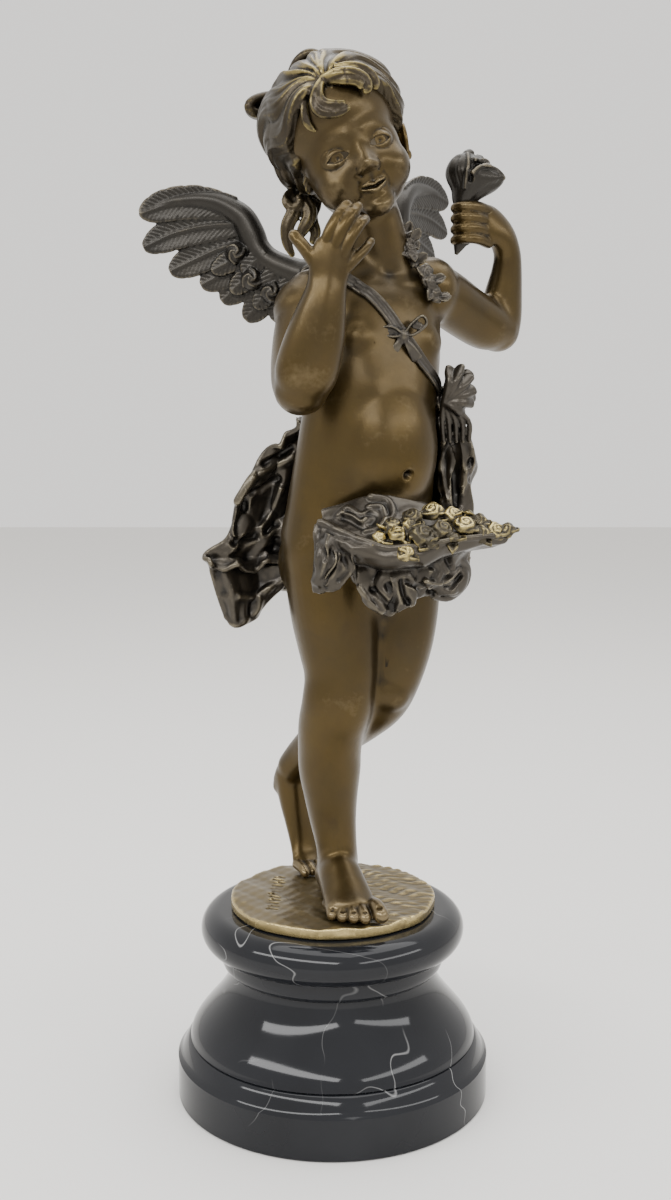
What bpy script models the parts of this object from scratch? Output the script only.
# A winged cherub cast in bronze, stepping forward on a round ground plate, on a turned black marble base.
# Units are metres, +Z is up, and the origin is the centre of the base's underside. The cherub faces -Y.

import math

import bmesh
import bpy
import numpy as np
from mathutils import Matrix, Vector
from mathutils.bvhtree import BVHTree

# Turned marble base
BASE_RADIUS = 0.065
BASE_HEIGHT = 0.0793
PLINTH_HEIGHT = 0.0178
BELL_RADIUS = 0.0595
NECK_RADIUS = 0.043
NECK_HEIGHT = 0.0545
TORUS_RADIUS = 0.0548
TORUS_HEIGHT = 0.0165
BASE_SEGMENTS = 40

# Bronze ground plate and the gap under it
PLATE_RADIUS = 0.0430
PLATE_THICKNESS = 0.0042
PLATE_WAVE = 0.0009
REST_GAP = 0.0003

# The cherub. Its pose and carving are counted in parts of its own height.
FIGURE_HEIGHT = 0.341
PARTS_PER_HEIGHT = 341.0

# How finely the clay is fused, and how many triangles are kept
CLAY_VOXEL = 1.25
FIGURE_TRIANGLES = 8100

PART = FIGURE_HEIGHT / PARTS_PER_HEIGHT
PLATE_UNDERSIDE = BASE_HEIGHT + REST_GAP
GROUND = PLATE_UNDERSIDE + PLATE_THICKNESS

# The body is turned to its left, and the head less so and tilted
BODY_YAW = math.radians(28)
LEFT = Vector((math.cos(BODY_YAW), math.sin(BODY_YAW), 0))
FRONT = Vector((math.sin(BODY_YAW), -math.cos(BODY_YAW), 0))
UP = Vector((0, 0, 1))
HEAD_CENTRE = Vector((2.2, -6, 305.5))
HEAD_TURN = (
    Matrix.Rotation(math.radians(17), 4, "Z")
    @ Matrix.Rotation(math.radians(3), 4, "X")
    @ Matrix.Rotation(math.radians(-20), 4, "Y")
)
HEAD_FRAME = Matrix.Translation(HEAD_CENTRE) @ HEAD_TURN


# Clay: closed shapes laid over each other in one bmesh, fused later
def ball(clay, centre, radii, turn=None, detail=3):
    if isinstance(radii, (int, float)):
        radii = (radii,) * 3
    place = Matrix.Translation(Vector(centre)) @ (turn or Matrix()) @ Matrix.Diagonal((*radii, 1))
    bmesh.ops.create_icosphere(clay, subdivisions=detail, radius=1, matrix=place)


def smooth_through(stations, steps):
    # a Catmull-Rom curve through the stations, each a tuple of the same length
    rows = [np.array(s, float) for s in stations]
    rows = [2 * rows[0] - rows[1], *rows, 2 * rows[-1] - rows[-2]]
    out = []
    for a, b, c, d in zip(rows, rows[1:], rows[2:], rows[3:]):
        for k in range(steps):
            t = k / steps
            out.append(0.5 * (2 * b + (c - a) * t + (2 * a - 5 * b + 4 * c - d) * t * t
                              + (3 * b - a - 3 * c + d) * t ** 3))
    out.append(rows[-2])
    return out


def ring(clay, place, sides):
    made = bmesh.ops.create_circle(clay, cap_ends=False, segments=sides, radius=1, matrix=place)
    return made["verts"]


def bridge(clay, rings):
    # joins each ring to the next and closes both ends
    for low, high in zip(rings, rings[1:]):
        count = len(low)
        for i in range(count):
            j = (i + 1) % count
            clay.faces.new((low[i], low[j], high[j], high[i]))
    clay.faces.new(rings[0][::-1])
    clay.faces.new(rings[-1])


def loft(clay, stations, side=LEFT, steps=4, sides=18, round_ends=True):
    # stations are (x, y, z, half width along side, half depth across it)
    rows = smooth_through(stations, steps)
    points = [Vector(r[:3]) for r in rows]
    rings = []
    for i, row in enumerate(rows):
        ahead = points[min(i + 1, len(points) - 1)] - points[max(i - 1, 0)]
        ahead.normalize()
        across = (side - ahead * side.dot(ahead)).normalized()
        through = ahead.cross(across)
        turn = Matrix((across, through, ahead)).transposed().to_4x4()
        place = Matrix.Translation(points[i]) @ turn @ Matrix.Diagonal((max(row[3], 0.2), max(row[4], 0.2), 1, 1))
        rings.append(ring(clay, place, sides))
    bridge(clay, rings)
    if round_ends:
        for row in (rows[0], rows[-1]):
            radius = min(row[3], row[4])
            ball(clay, row[:3], radius, detail=2)


def cord(clay, points, radius, end_radius=None, sides=10, steps=3):
    # a round strand through the points, thinning to its end
    end_radius = radius if end_radius is None else end_radius
    last = len(points) - 1
    stations = []
    for i, p in enumerate(points):
        r = radius + (end_radius - radius) * i / last
        stations.append((*p, r, r))
    side = Vector((0.3, 0.5, 0.81))
    loft(clay, stations, side=side, steps=steps, sides=sides)


def head_point(x, y, z):
    return HEAD_FRAME @ Vector((x, y, z))


def torso(clay):
    loft(clay, [
        (12, 4, 118, 17, 16), (11, 4, 131, 29, 22), (10.5, 4, 145, 32.5, 24), (11, 4, 158, 31.5, 23.5),
        (12.5, 3, 172, 30.5, 22.5), (14, 1.5, 186, 29.5, 21.5), (15.5, 1, 200, 28.5, 20.5), (17, 1.5, 214, 27.5, 19.5),
        (18, 3, 228, 27.5, 18.5), (19, 4, 240, 26, 16.5), (19.5, 5, 249, 21, 13), (19.5, 5, 257, 13.5, 12),
        (18.2, 3.5, 266, 11.8, 11.6), (15, 1, 276, 11.6, 11.6), (10, -1, 287, 11.4, 11.4),
    ], sides=28)
    body_turn = Matrix.Rotation(BODY_YAW, 4, "Z")
    ball(clay, (20.5, -5, 184), (21, 19, 28), body_turn)
    for side in (-1, 1):
        seat = Vector((10.5, 4, 139)) - FRONT * 11 + LEFT * side * 13
        ball(clay, seat, (16.5, 15, 19), body_turn)
        breast = Vector((18, 3, 227)) + FRONT * 9 + LEFT * side * 11
        ball(clay, breast, (12.5, 8.6, 11), body_turn)
        blade = Vector((19, 4, 234)) - FRONT * 9 + LEFT * side * 12
        ball(clay, blade, (11, 8, 14), body_turn)
    cord(clay, [(-6, -9, 241), (3, -3, 249), (12, 1, 255), (18, 3, 261)], 10, 8)
    cord(clay, [(38, 12, 249), (30, 9, 254), (22, 6, 260)], 9, 8)


def standing_leg(clay):
    loft(clay, [
        (1, 0, 150, 22, 22), (0.5, -1, 134, 19.8, 21), (1.2, -3, 119, 18.2, 19.5), (2.6, -5, 106, 16.6, 17.4),
        (3.4, -7, 94, 14.8, 15.2), (2.2, -7.5, 83, 14.6, 14.2), (-0.2, -4.5, 73, 13.8, 13.6),
        (-1.1, -1.5, 63, 13.1, 13.2), (-1.1, 0.5, 53, 12.8, 12.8), (-0.6, 1.5, 42, 11.2, 11.4),
        (0.2, 2, 32, 9.8, 10), (1.6, 2, 21, 8.6, 9.2), (2.2, 3, 12, 8.6, 10), (1.6, 4, 6, 8.2, 9.5),
    ], side=Vector((1, 0, 0)), sides=22)
    ball(clay, (3.2, -12.5, 86), (9.5, 8, 10))
    # foot, heel to ball
    loft(clay, [
        (-0.4, 12, 6, 6, 5.5), (0.8, 5, 7, 8.4, 7.5), (2.6, -5, 9.8, 9, 9.4), (4.6, -14, 8, 9.6, 7.4),
        (6.6, -23, 5.6, 10.2, 5.2), (8.0, -29.5, 4.2, 10.4, 4),
    ], side=Vector((0.98, 0.2, 0)), sides=18)
    rows = ((8.6, 53, 3.3), (3.2, 52.5, 2.5), (-0.9, 51, 2.4), (-4.8, 49, 2.3), (-8.2, 46, 2.2))
    for k, (across, reach, radius) in enumerate(rows):
        toe(clay, (-1, 12), (0.21, -0.978), across, reach, radius, splay=0.04 + (k == 0) * 0.1)


def toe(clay, heel, ahead, across, reach, radius, splay):
    aside = (-ahead[1], ahead[0])
    points = []
    for back, rise in ((13, 1.4), (6, 1.9), (2.2, 0.6)):
        out = across * (1 + splay * (1 - back / 13))
        x = heel[0] + ahead[0] * (reach - back) + aside[0] * out
        y = heel[1] + ahead[1] * (reach - back) + aside[1] * out
        points.append((x, y, radius + rise))
    cord(clay, points, radius * 0.95, radius, sides=12)


def trailing_leg(clay):
    loft(clay, [
        (22, 8, 148, 21, 21), (26, 7, 133, 17.5, 19), (27, 6, 119, 15.6, 17.5), (25.8, 4, 105, 14.4, 16),
        (23.6, 2.5, 93, 13, 13.6), (19.6, 4, 83, 12.2, 12.4), (12.5, 10, 75, 11.8, 11.8), (3.5, 17.5, 67, 11.4, 11.2),
        (-5, 25, 59.5, 9.8, 9.6), (-12, 31.5, 52.5, 7.8, 7.8), (-17, 36, 45.5, 7.2, 7.2),
    ], side=Vector((0.7, 0.6, -0.3)), sides=20)
    ball(clay, (23, -3, 87), (9.5, 8.5, 9.5))
    loft(clay, [(-15.5, 34, 50, 6.5, 6), (-20.4, 39, 40, 5.6, 5.6), (-22.4, 41, 35.5, 4.4, 4.2)],
         side=Vector((0.8, 0.6, 0)), sides=14)
    loft(clay, [
        (-18.6, 38.5, 41, 7, 7), (-17, 38.4, 31, 7.2, 6.6), (-14.6, 37.6, 21, 7.6, 5.4), (-12.2, 36, 12, 8.2, 4.6),
        (-10.6, 32.5, 5.5, 8.6, 3.6), (-9.6, 29, 3.8, 8.4, 3),
    ], side=Vector((0.7, 0.71, 0)), sides=16)
    for k in range(5):
        x = -15.4 + 3.1 * k
        y = 26.5 + 2.6 * k
        cord(clay, [(x, y, 4), (x + 2.4, y - 5, 3.6), (x + 3.6, y - 7.4, 2.4)], 2.3 + 0.3 * (k == 4), 2.1)


def right_arm(clay):
    ball(clay, (-8.5, -10, 238.5), (14.5, 13.5, 14))
    loft(clay, [
        (-7, -9, 243, 12, 12), (-9.5, -15, 231, 12.8, 12.6), (-11, -23, 220, 12.4, 12.2), (-11.8, -31, 212, 11.4, 11.2),
        (-11.6, -36, 208, 10.4, 10),
    ], side=Vector((1, 0, 0)))
    loft(clay, [
        (-11.4, -37.5, 207.5, 9.6, 9), (-9.6, -40, 214, 11.8, 10.6), (-6.6, -42.6, 225, 11.2, 10),
        (-3.8, -44.6, 236, 9.2, 8.4), (-2.2, -45.6, 243, 7.6, 6.8), (-1.4, -46, 248, 7.3, 5.4),
        (-0.4, -46.6, 253.5, 8.2, 4.6), (1.2, -47, 258.5, 7.8, 3.8),
    ], side=Vector((0.92, 0.1, -0.3)))
    fingers = (
        ([(-3.2, -47, 256), (-0.8, -48.6, 263.5), (2.4, -48, 269.5), (5.2, -45, 273.6)], 2.7),
        ([(0.4, -48, 257), (3.2, -49, 264), (6.6, -48, 269.6), (9.2, -44.6, 273)], 2.7),
        ([(3.6, -48, 255.5), (7, -48.6, 262), (10.3, -47, 267), (11.9, -43.6, 268.8)], 2.5),
        ([(5.6, -47, 251.5), (9, -46.5, 255), (12.2, -44.5, 258.4), (14, -42, 261)], 2.2),
        ([(-3.4, -46, 246), (-8, -46.6, 253.5), (-11.6, -46.4, 258.8), (-15, -45, 263.6)], 3.2),
    )
    for points, radius in fingers:
        cord(clay, points, radius, radius * 0.82, sides=12)


def left_arm(clay):
    ball(clay, (39, 14, 249), (12.5, 12.5, 13))
    loft(clay, [
        (36, 12, 250, 11.5, 11.5), (45, 20, 247, 11.2, 11.4), (54.5, 29, 241.5, 10.8, 11.4), (64, 37, 236.5, 10.4, 11),
        (69.5, 41.5, 235.5, 9.6, 10),
    ], side=Vector((0, 0.3, 1)))
    loft(clay, [
        (70.5, 43, 234.5, 9.4, 9.4), (72, 42.6, 241, 9.2, 9.4), (73, 41.2, 250, 8, 8.4), (73.6, 39.4, 259, 6.4, 7),
        (73.4, 37.6, 266, 5.6, 6.4), (70.6, 34.6, 272.5, 5.4, 7), (65.6, 31, 276.4, 4.8, 8.2), (61.2, 28.6, 277, 4, 8),
    ], side=Vector((1, -0.5, 0)))
    for k in range(4):
        z = 283 - 4.3 * k
        cord(clay, [(64.5, 29, z - 1), (59.5, 23.8, z), (54.4, 21.6, z), (50.4, 24.2, z - 0.4), (51.4, 28, z - 0.6)],
             2.3, 1.9, sides=12)
    cord(clay, [(68, 34, 277), (63, 35, 282), (57, 33, 285)], 3, 2.3, sides=12)


# The head, its face and its hair
def head(clay):
    def blob(centre, radii, tilt=0):
        turn = HEAD_TURN @ Matrix.Rotation(math.radians(tilt), 4, "Y")
        ball(clay, head_point(*centre), radii, turn)

    blob((0, 3, 6), (24.5, 28, 25))
    blob((0, -8, -9), (19.2, 18.5, 22))
    blob((0, -20, -28), (6.8, 6, 5.6))
    for side in (-1, 1):
        blob((side * 10.6, -14.5, -15), (9.4, 9.6, 10.5))
        blob((side * 24.2, 1, -7), (2.4, 4, 6.2), side * 8)
    nose = [(*head_point(0, y, z), w, d) for y, z, w, d in ((-24, 1, 2.6, 2), (-26.4, -6, 2.6, 2.6), (-28.6, -11, 2.8, 2.8))]
    loft(clay, nose, side=HEAD_TURN.to_3x3() @ Vector((1, 0, 0)), sides=12)
    blob((0, -27.2, -12), (3.8, 3.6, 2.8))
    blob((0, -24.6, -19), (5.8, 2.6, 1.6))
    blob((0, -24.2, -22), (4.8, 2.6, 1.8))


def lock(clay, points, radius, end_radius):
    cord(clay, [head_point(*p) for p in points], radius, end_radius, sides=10)


def hair_point(fall, round_about, lift):
    # the hair flows from a parting over the brow (fall 0) back to the nape (fall 180)
    f, r = math.radians(fall), math.radians(round_about)
    parting = Vector((-0.08, -0.73, 0.68)).normalized()
    aside = parting.cross(Vector((0, 0.68, 0.73))).normalized() * -1
    over = aside.cross(parting).normalized()
    if over.z < 0:
        over = -over
    way = parting * math.cos(f) + (over * math.cos(r) + aside * math.sin(r)) * math.sin(f)
    return (0.8 + way.x * (22.4 + lift), 6 + way.y * (26.4 + lift), 8.5 + way.z * (20.9 + lift))


def hair(clay):
    ball(clay, head_point(0, 7, 8.5), (25, 27, 22.4), HEAD_TURN)
    ball(clay, head_point(-4, 11, 1), (19, 19, 21), HEAD_TURN)
    # waved locks
    for k in range(22):
        start = -120 + k * 10.8
        points = []
        for fall in (10, 32, 54, 76, 98, 120, 142, 162):
            wave = 7 * math.sin(math.radians(fall * 3.2 + 40 * k))
            lift = 1.4 + 1.5 * math.sin(math.radians(fall * 4 + 155 * k)) - (fall < 20) * 1.0
            points.append(hair_point(fall, start + wave, lift))
        lock(clay, points, 3.4, 3.0)
    # the curl over the brow
    lock(clay, [(-6, -19, 20), (-9.5, -21.6, 16.5), (-8.5, -23.6, 12.5), (-3, -25, 9.5), (2, -25, 9.5)], 2.4, 1.3)
    lock(clay, [(-3, -20, 20), (-1.5, -23, 15.5), (3, -24, 12.4), (7.4, -23.6, 11.4), (9.4, -22.4, 14), (7, -22, 16.6),
                (3.6, -22, 16.8)], 2.4, 1.4)
    lock(clay, [(1, -18, 21), (6, -20, 19.5), (10.6, -20.6, 16.4), (12, -21, 12)], 2.6, 1.4)
    # ribbon bow at the back of the crown
    knot = (-19, 19, 326)
    for loop in (((-17, 17, 333), (-12, 12, 338), (-6, 12, 337), (-8, 17, 331)),
                 ((-26, 16, 326), (-34, 13, 323), (-34, 12, 316), (-26, 14, 316))):
        cord(clay, [knot, *loop, knot], 2.6, sides=10)
    # curls that hang at the nape
    cord(clay, [(-12, 7, 289), (-14, 4, 281), (-17, 3, 274), (-17.4, 4, 266.5), (-14, 6, 261.5)], 3.4, 2.4)
    cord(clay, [(-11, 5, 285), (-9.6, 3, 278), (-11.5, 3, 271), (-15, 3, 266)], 3.4, 2.4)


# Wings. A feather is the line of its quill in the wing's own plane, out from the root and up, and its half width.
FLIGHT_FEATHERS = (
    (((30, 27), (46, 32), (61, 32), (74.8, 28)), 6.6),
    (((28, 23), (45, 23.5), (60, 20.5), (73, 14.6)), 6.6),
    (((26, 18), (41, 15), (52, 10), (62.6, 5)), 6.4),
    (((24, 13), (34, 8), (42, 3.5), (50, -0.6)), 6.2),
    (((21, 9), (29, 3), (36, -2.5), (41.5, -7)), 6),
    (((16, 5), (21, -2), (26, -8.5), (31.7, -14.6)), 5.8),
    (((9, 3), (12, -4), (16, -10), (20, -15)), 5.6),
)
COVERTS = (
    (((29, 27), (38, 28), (48, 26)), 4.4),
    (((27, 22), (36, 20), (45, 16)), 4.4),
    (((24, 16), (32, 12), (39, 7)), 4.2),
    (((20, 10), (27, 4), (32, -1)), 4.2),
    (((14, 6), (19, -1), (24, -6)), 4.2),
)


def along(line, t):
    # the point a share t of the way down a line of evenly spaced points
    place = min(t, 0.9999) * (len(line) - 1)
    k = int(place)
    return tuple(a + (b - a) * (place - k) for a, b in zip(line[k], line[k + 1]))


def wing(clay, root, out, up, back):
    def at(u, v, w=0.0):
        return root + out * u + up * v + back * w

    def bow(u):
        # the wing curves backwards to its tip
        return 5.0 * math.sin(min(max(u, 0), 74) / 74 * math.pi * 0.9)

    def feather(line, width, lift, thickness=2.0):
        stations = []
        for t in (0, 0.2, 0.42, 0.64, 0.84, 0.95, 1.0):
            u, v = along(line, t)
            taper = (0.7 + 0.3 * min(1, t / 0.4)) * math.sqrt(max(0.12, 1 - (t / 1.03) ** 7))
            stations.append((*at(u, v, bow(u) + lift), width * taper, thickness * (0.5 + 0.5 * taper)))
        (u0, v0), (u1, v1) = line[0], line[-1]
        span = (out * (u1 - u0) + up * (v1 - v0)).normalized()
        loft(clay, stations, side=span.cross(back), sides=12, steps=3, round_ends=False)

    arm = [(-6, -2, 7), (4, 2, 6.6), (12, 6, 6), (19, 11, 5.8), (24, 18, 5.8), (29, 25, 5.8), (36, 30, 5.4), (45, 33, 4.6),
           (56, 33.4, 3.6), (66, 31, 2.6)]
    loft(clay, [(*at(u, v, bow(u)), r, r * 0.8) for u, v, r in arm], side=up, sides=14)
    for k, (line, width) in enumerate(FLIGHT_FEATHERS):
        feather(line, width, 0.4 * k)
    for k, (line, width) in enumerate(COVERTS):
        feather(line, width, -3.2 + 0.3 * k, 2.8)
        feather(line, width, 3.4 - 0.2 * k, 2.4)
    for u, v, size in ((20, 2, 7.5), (13, -2, 7.5), (27, 10, 7), (36, 18, 7), (44, 22, 6)):
        place = Matrix((out, back, up)).transposed().to_4x4() @ Matrix.Diagonal((size, 3.2, size, 1))
        ball(clay, at(u, v, bow(u)), 1, place)


def wings(clay):
    wing(clay, Vector((-5, 17, 252)), Vector((-0.995, 0.10, 0)), UP, Vector((0.10, 0.995, 0)))
    left_out = Vector((0.46, 0.88, 0.12)).normalized()
    left_back = left_out.cross(UP).normalized() * -1
    wing(clay, Vector((19, 26, 257)), left_out, left_back.cross(left_out) * -1, left_back)


# Drapery and bands
def lay_on(skin, points, lift):
    # moves a smooth line through the points onto the skin, lifted off it
    laid = []
    for point in smooth_through(points, 3):
        spot, normal, _, _ = skin.find_nearest(Vector(point))
        laid.append(tuple(spot + normal * lift))
    return laid


def sheet(clay, width_points, rows, thickness, ripple):
    # a cloth from a lattice: each row is the list of points that a weft line runs through.
    # Returns the place at a share of the way across and down, lifted off the cloth.
    lines = [smooth_through(row, width_points) for row in rows]
    columns = [smooth_through([line[i] for line in lines], 4) for i in range(len(lines[0]))]
    wide, tall = len(columns), len(columns[0])
    grid = [[Vector(columns[i][j]) for j in range(tall)] for i in range(wide)]

    def surface(i, j):
        along_weft = grid[min(i + 1, wide - 1)][j] - grid[max(i - 1, 0)][j]
        down = grid[i][min(j + 1, tall - 1)] - grid[i][max(j - 1, 0)]
        normal = along_weft.cross(down).normalized()
        return grid[i][j] + normal * ripple(i / (wide - 1), j / (tall - 1)), normal

    front, behind = [], []
    for i in range(wide):
        front.append([])
        behind.append([])
        for j in range(tall):
            p, normal = surface(i, j)
            front[-1].append(clay.verts.new(p + normal * thickness / 2))
            behind[-1].append(clay.verts.new(p - normal * thickness / 2))
    for i in range(wide - 1):
        for j in range(tall - 1):
            clay.faces.new((front[i][j], front[i + 1][j], front[i + 1][j + 1], front[i][j + 1]))
            clay.faces.new((behind[i][j], behind[i][j + 1], behind[i + 1][j + 1], behind[i + 1][j]))
    rim = [(i, 0) for i in range(wide)] + [(wide - 1, j) for j in range(1, tall)]
    rim += [(i, tall - 1) for i in range(wide - 2, -1, -1)] + [(0, j) for j in range(tall - 2, 0, -1)]
    for (a, b), (c, d) in zip(rim, rim[1:] + rim[:1]):
        clay.faces.new((front[a][b], behind[a][b], behind[c][d], front[c][d]))

    def at(u, v, lift=0.0):
        p, normal = surface(round(u * (wide - 1)), round(v * (tall - 1)))
        return tuple(p + normal * lift)

    return at


def back_drape(clay):
    # from the knot on the left hip, round the back, and blown out past the right hip
    rows = [
        [(42, 3, 208), (52, 5, 214), (39, 22, 207), (16, 26, 199), (-4, 20, 197), (-14, 10, 197)],
        [(44, 6, 191), (54, 10, 191), (40, 29, 186), (12, 31, 178), (-14, 23, 176), (-30, 14, 174)],
        [(45, 7, 174), (58, 13, 174), (42, 33, 164), (10, 35, 157), (-20, 26, 155), (-39, 15, 155)],
        [(43, 5, 152), (56, 11, 150), (40, 33, 143), (8, 36, 137), (-24, 26, 137), (-53, 17, 139)],
        [(41, 0, 135), (52, 5, 131), (36, 31, 128), (7, 36, 121), (-22, 26, 122), (-47, 19, 123)],
        [(38, -3, 130), (46, -2, 124), (33, 28, 121), (6, 34, 116), (-20, 25, 117), (-39, 20, 112)],
    ]

    def folds(u, v):
        deep = 0.8 + 2.0 * v
        return deep * math.sin(2 * math.pi * (u * 6.6 + 0.35 * v)) + 1.2 * v * math.sin(2 * math.pi * (u * 12.0 - v))

    at = sheet(clay, 8, rows, 4.6, folds)
    # folds that stand up, and the hem turned over where it is blown out
    for path, thick, thin in (
        (((0.98, 0.02), (0.99, 0.2), (0.99, 0.4), (0.99, 0.6), (0.96, 0.8), (0.94, 0.98)), 3.6, 3.2),
        (((0.9, 0.04), (0.88, 0.22), (0.9, 0.4), (0.87, 0.58), (0.86, 0.72)), 3.4, 3.0),
        (((0.81, 0.1), (0.8, 0.3), (0.78, 0.5), (0.8, 0.7), (0.78, 0.95)), 3.4, 3.0),
        (((0.99, 0.6), (0.95, 0.66), (0.91, 0.62), (0.87, 0.68), (0.83, 0.62), (0.79, 0.66)), 3.2, 2.6),
        (((0.97, 0.78), (0.97, 0.98), (0.9, 0.99), (0.85, 0.94), (0.83, 0.8)), 3.2, 3.0),
        (((0.02, 0.03), (0.03, 0.3), (0.01, 0.6), (0.03, 0.97)), 3.4, 3.2),
        (((0.1, 0.03), (0.08, 0.3), (0.11, 0.6), (0.08, 0.97)), 3.4, 3.2),
        (((0.18, 0.03), (0.19, 0.3), (0.17, 0.6), (0.19, 0.97)), 3.6, 3.4),
    ):
        cord(clay, [at(u, v, 0.8) for u, v in path], thick, thin)


def side_knot(clay):
    ball(clay, (49, 4, 209), (6.6, 6, 8.4))
    ball(clay, (47, 6, 200), (6, 5.6, 5))


def front_apron(clay):
    # a scoop of cloth held out before the hips
    rows = [
        [(-5, -25, 161), (6, -26, 164), (22, -22, 165), (38, -18, 162), (50, -20, 158)],
        [(-9, -31, 157), (8, -36, 151), (26, -38, 147), (44, -35, 149), (58, -34, 153)],
        [(-6, -37, 157), (9, -45, 152.5), (25, -49, 148), (42, -47, 151), (62, -38, 154.5)],
    ]
    sheet(clay, 6, rows, 3.6, lambda u, v: 0.8 * math.sin(2 * math.pi * 5 * u) * v)
    ball(clay, (24, -32, 148), (27, 14, 9), Matrix.Rotation(math.radians(8), 4, "Z") @ Matrix.Rotation(math.radians(-8), 4, "Y"))
    for k in range(6):
        t = k / 5
        top = Vector((2 + 42 * t, -32 + 5 * t, 146))
        low = Vector((5 + 40 * t, -26 + 4 * t, 126 + 15 * abs(t - 0.42)))
        cord(clay, [top, (top + low) / 2 + Vector((0, -3, 0)), low], 6, 4.4)
    cord(clay, [(-6, -31, 158), (-8, -33, 149), (-5, -34, 140), (0, -33, 134)], 4.6, 2.6)
    cord(clay, [(-2, -34, 150), (2, -37, 143), (1, -36, 137)], 4.2, 3)


# Flowers
def rose(clay, centre, radius, aim):
    aim = Vector(aim).normalized()
    turn = aim.to_track_quat("Z", "Y").to_matrix().to_4x4()
    ball(clay, centre, (radius, radius, radius * 0.8), turn, detail=2)
    for k in range(5):
        a = 2 * math.pi * k / 5
        petal = Vector(centre) + turn.to_3x3() @ Vector((math.cos(a), math.sin(a), 0.25)) * radius * 0.62
        ball(clay, petal, radius * 0.46, detail=2)


def flowers(clay):
    spots = ((24.4, -43, 157), (33.4, -44, 154), (27, -48, 149), (41.3, -40, 156.5), (50, -37, 158.5), (54, -38, 153.5),
             (60, -36, 154.5), (31, -34, 160), (38, -30, 160.5), (15, -40, 155.5), (64, -37, 155), (22, -36, 159))
    for k, spot in enumerate(spots):
        rose(clay, spot, 3.9 + 0.9 * math.sin(2.3 * k), (0.2 * math.sin(k), -0.5, 1))
    # posy in the left hand
    loft(clay, [(53.6, 26, 265, 1.6, 1.6), (54.4, 26, 273, 2.8, 2.8), (56, 26, 283, 4.2, 4), (57.6, 26, 289, 7.4, 6.4),
                (59.6, 26, 294, 11, 8), (60.4, 26, 297, 11.4, 8)], side=Vector((1, 0, -0.35)), sides=16)
    for k, (x, y, z) in enumerate(((51.5, 25, 297.5), (58.5, 22, 299.5), (67, 26, 294.5), (60, 30, 299), (64, 22, 296))):
        rose(clay, (x, y, z), 4.2, (0.3 * (k - 1), -0.4, 1))


def strap(clay, skin):
    # bands lie on the skin: over the right shoulder across chest and back, and a flowered one on the left shoulder
    over = [(-2, 4, 256), (1, -8, 256), (5, -16, 253.5), (14.5, -18, 247), (24, -19, 238), (30.5, -18, 230), (38, -14, 221),
            (42, -6, 214), (46, 4, 208)]
    cord(clay, lay_on(skin, over, 0.8), 1.9, sides=8, steps=1)
    behind = [(-2, 4, 256), (4, 16, 250), (12, 25, 240), (24, 28, 226), (36, 22, 214), (46, 8, 208)]
    cord(clay, lay_on(skin, behind, 0.8), 1.9, sides=8, steps=1)
    garland = lay_on(skin, [(24, 12, 268), (31, 0, 266), (36, -4, 259), (40, -4, 251), (42.5, -3, 244)], 1.4)
    for k, spot in enumerate(garland[::2]):
        rose(clay, spot, 3.3 + 0.5 * math.sin(2.7 * k), (0.5, -1, 0.3))
    knot = Vector(lay_on(skin, [(30.4, -19, 230), (31, -19, 229)], 1.8)[0])
    ball(clay, knot, 2.7)
    for tip in ((-7, 0, 5), (7, 2, 6), (-5, 0, -7), (6, 2, -8)):
        end = knot + Vector(tip)
        cord(clay, [knot, knot.lerp(end, 0.5) + Vector((0, -1.6, 0)), end], 1.8, 2.4)


# From clay to one closed surface
def mesh_object(name, bm):
    mesh = bpy.data.meshes.new(name)
    bm.to_mesh(mesh)
    obj = bpy.data.objects.new(name, mesh)
    bpy.context.scene.collection.objects.link(obj)
    return obj


def settle(obj):
    # keeps the modified shape as the object's own mesh
    bpy.context.view_layer.update()
    shape = bpy.data.meshes.new_from_object(obj.evaluated_get(bpy.context.evaluated_depsgraph_get()))
    obj.modifiers.clear()
    old = obj.data
    obj.data = shape
    bpy.data.meshes.remove(old)


def fuse(obj, voxel):
    remesh = obj.modifiers.new("fuse", "REMESH")
    remesh.mode = "VOXEL"
    remesh.voxel_size = voxel
    settle(obj)


def drop_hidden(obj):
    # keeps the one outer shell: closed bubbles inside the clay and loose crumbs go
    bm = bmesh.new()
    bm.from_mesh(obj.data)
    left = set(bm.verts)
    shells = []
    while left:
        seed = left.pop()
        shell, edge = [seed], [seed]
        while edge:
            near = [e.other_vert(v) for v in edge for e in v.link_edges]
            edge = []
            for v in near:
                if v in left:
                    left.discard(v)
                    edge.append(v)
            shell += edge
        shells.append(shell)
    shells.sort(key=len)
    for shell in shells[:-1]:
        bmesh.ops.delete(bm, geom=shell, context="VERTS")
    bm.to_mesh(obj.data)
    bm.free()


def relax(obj, rounds, share=0.5, fill_only=False):
    # draws each point to the middle of its neighbours; fill_only just fills the creases
    mesh = obj.data
    count = len(mesh.vertices)
    place = np.empty(count * 3, np.float32)
    mesh.vertices.foreach_get("co", place)
    place = place.reshape(-1, 3).astype(float)
    ends = np.empty(len(mesh.edges) * 2, np.int32)
    mesh.edges.foreach_get("vertices", ends)
    one, other = ends.reshape(-1, 2).T
    degree = np.bincount(one, minlength=count) + np.bincount(other, minlength=count)
    for _ in range(rounds):
        total = np.stack([
            np.bincount(one, place[other, k], count) + np.bincount(other, place[one, k], count) for k in range(3)
        ], 1)
        step = total / degree[:, None] - place
        if fill_only:
            normal = np.empty(count * 3, np.float32)
            mesh.vertex_normals.foreach_get("vector", normal)
            outward = (step * normal.reshape(-1, 3)).sum(1)
            step[outward < 0] = 0
        place += share * step
        mesh.vertices.foreach_set("co", place.astype(np.float32).ravel())
        mesh.update()


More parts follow.
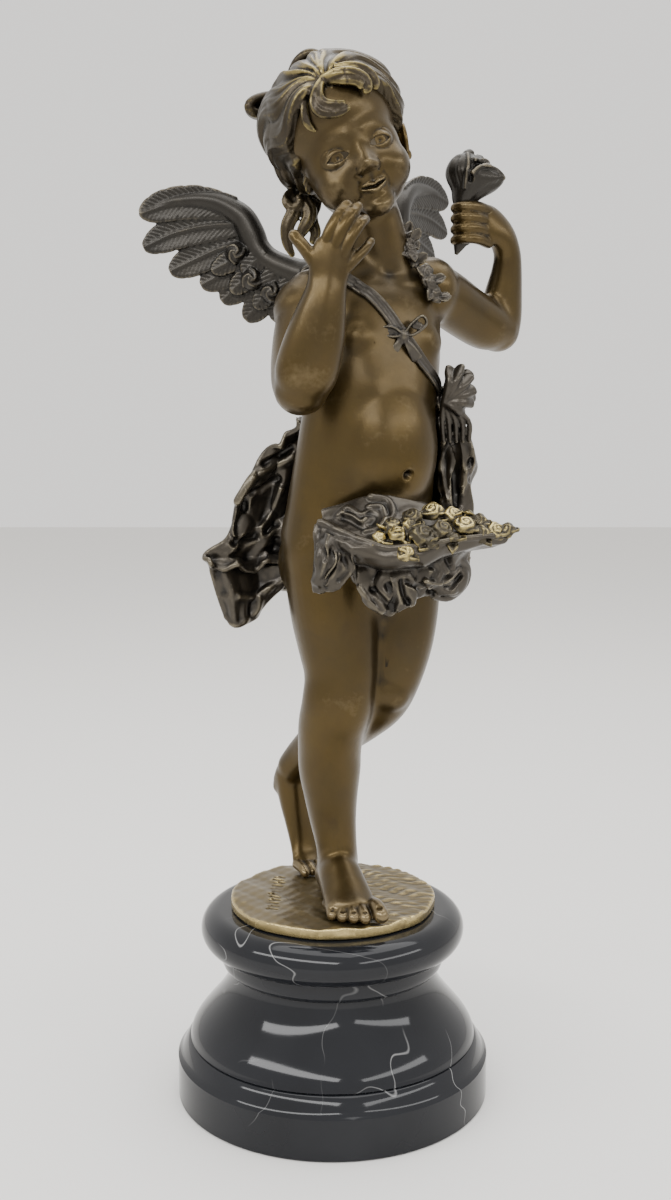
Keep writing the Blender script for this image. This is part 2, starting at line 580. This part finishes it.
def figure_clay():
    # the skin is fused and its creases filled first, then everything is fused together
    skin = bmesh.new()
    for shape in (torso, standing_leg, trailing_leg, right_arm, left_arm, head):
        shape(skin)
    body = mesh_object("skin", skin)
    skin.free()
    fuse(body, CLAY_VOXEL)
    relax(body, 8, fill_only=True)
    relax(body, 2)
    surface = BVHTree.FromPolygons([v.co for v in body.data.vertices], [tuple(p.vertices) for p in body.data.polygons])
    rest = bmesh.new()
    for shape in (hair, wings, back_drape, side_knot, front_apron, flowers):
        shape(rest)
    strap(rest, surface)
    rest.from_mesh(body.data)
    bpy.data.objects.remove(body)
    return rest


def ground_plate():
    # a poured disc with a wavy edge and an uneven top, in the figure's own parts
    plate = bmesh.new()
    radius = PLATE_RADIUS / PART
    depth = PLATE_THICKNESS / PART
    made = bmesh.ops.create_cone(plate, cap_ends=True, segments=72, radius1=radius, radius2=radius, depth=depth,
                                 matrix=Matrix.Translation((0, 0, -depth / 2)))
    for vert in made["verts"]:
        turn = math.atan2(vert.co.y, vert.co.x)
        wave = math.sin(3 * turn + 1) + 0.6 * math.sin(7 * turn) + 0.4 * math.sin(11 * turn + 2)
        vert.co.xy *= 1 + PLATE_WAVE / PLATE_RADIUS * 0.5 * wave
    return plate


def cherub():
    clay = figure_clay()
    plate = ground_plate()
    plate_mesh = bpy.data.meshes.new("plate")
    plate.to_mesh(plate_mesh)
    clay.from_mesh(plate_mesh)
    figure = mesh_object("bronze_cherub", clay)
    clay.free()
    fuse(figure, CLAY_VOXEL)
    relax(figure, 1)
    trim = figure.modifiers.new("trim", "DECIMATE")
    faces = sum(len(p.vertices) - 2 for p in figure.data.polygons)
    trim.ratio = FIGURE_TRIANGLES / faces
    trim.use_collapse_triangulate = True
    settle(figure)
    drop_hidden(figure)
    figure.data.transform(Matrix.Translation((0, 0, GROUND)) @ Matrix.Scale(PART, 4))
    # a flat underside that rests on the marble
    level = PLATE_UNDERSIDE
    for vert in figure.data.vertices:
        if vert.co.z < level + PLATE_THICKNESS * 0.35:
            vert.co.z = level
    return figure


def base_profile():
    # the turned outline from the axis at the underside up to the flat seat
    bell_foot = PLINTH_HEIGHT + 0.0077
    torus_low = BASE_HEIGHT - TORUS_HEIGHT
    torus_mid = BASE_HEIGHT - TORUS_HEIGHT / 2
    torus_half = TORUS_HEIGHT / 2
    seat = TORUS_RADIUS - torus_half
    outline = [(BASE_RADIUS, 0), (BASE_RADIUS, PLINTH_HEIGHT)]
    for k in range(1, 4):
        t = k / 3
        outline.append((BASE_RADIUS - 0.0015 - (BASE_RADIUS - BELL_RADIUS - 0.001) * t,
                        PLINTH_HEIGHT + 0.001 + (bell_foot - PLINTH_HEIGHT - 0.002) * math.sin(t * math.pi / 2)))
    outline.append((BELL_RADIUS, bell_foot))
    # the bell swells and then sweeps up to the neck
    for k in range(1, 8):
        t = k / 7
        sweep = 0.5 - 0.5 * math.cos(math.pi * t ** 0.85)
        outline.append((BELL_RADIUS + (NECK_RADIUS - BELL_RADIUS) * sweep, bell_foot + (NECK_HEIGHT - bell_foot) * t))
    outline.append((NECK_RADIUS + 0.0018, NECK_HEIGHT + 0.0006))
    outline.append((NECK_RADIUS + 0.0034, NECK_HEIGHT + 0.0040))
    outline.append((seat, torus_low))
    for k in range(1, 7):
        a = -math.pi / 2 + math.pi * k / 7
        outline.append((seat + torus_half * math.cos(a), torus_mid + torus_half * math.sin(a)))
    outline.append((seat, BASE_HEIGHT))
    return outline


def marble_base():
    base = bmesh.new()
    outline = [base.verts.new((r, 0, z)) for r, z in base_profile()]
    edges = [base.edges.new(pair) for pair in zip(outline, outline[1:])]
    bmesh.ops.spin(base, geom=outline + edges, axis=(0, 0, 1), cent=(0, 0, 0), steps=BASE_SEGMENTS,
                   angle=2 * math.pi, use_merge=True)
    bmesh.ops.remove_doubles(base, verts=base.verts, dist=1e-6)
    bmesh.ops.holes_fill(base, edges=[e for e in base.edges if e.is_boundary])
    bmesh.ops.recalc_face_normals(base, faces=base.faces)
    obj = mesh_object("marble_base", base)
    base.free()
    obj.data.shade_smooth()
    obj.data.set_sharp_from_angle(angle=math.radians(35))
    return obj


def finish(obj, name, colour, metallic, roughness):
    material = bpy.data.materials.new(name)
    material.use_nodes = True
    shader = material.node_tree.nodes["Principled BSDF"]
    shader.inputs["Base Color"].default_value = (*colour, 1)
    shader.inputs["Metallic"].default_value = metallic
    shader.inputs["Roughness"].default_value = roughness
    obj.data.materials.clear()
    obj.data.materials.append(material)


def build():
    for obj in list(bpy.data.objects):
        bpy.data.objects.remove(obj)
    finish(marble_base(), "black_marble", (0.02, 0.021, 0.024), 0.0, 0.12)
    finish(cherub(), "patinated_bronze", (0.20, 0.135, 0.065), 0.85, 0.38)


build()
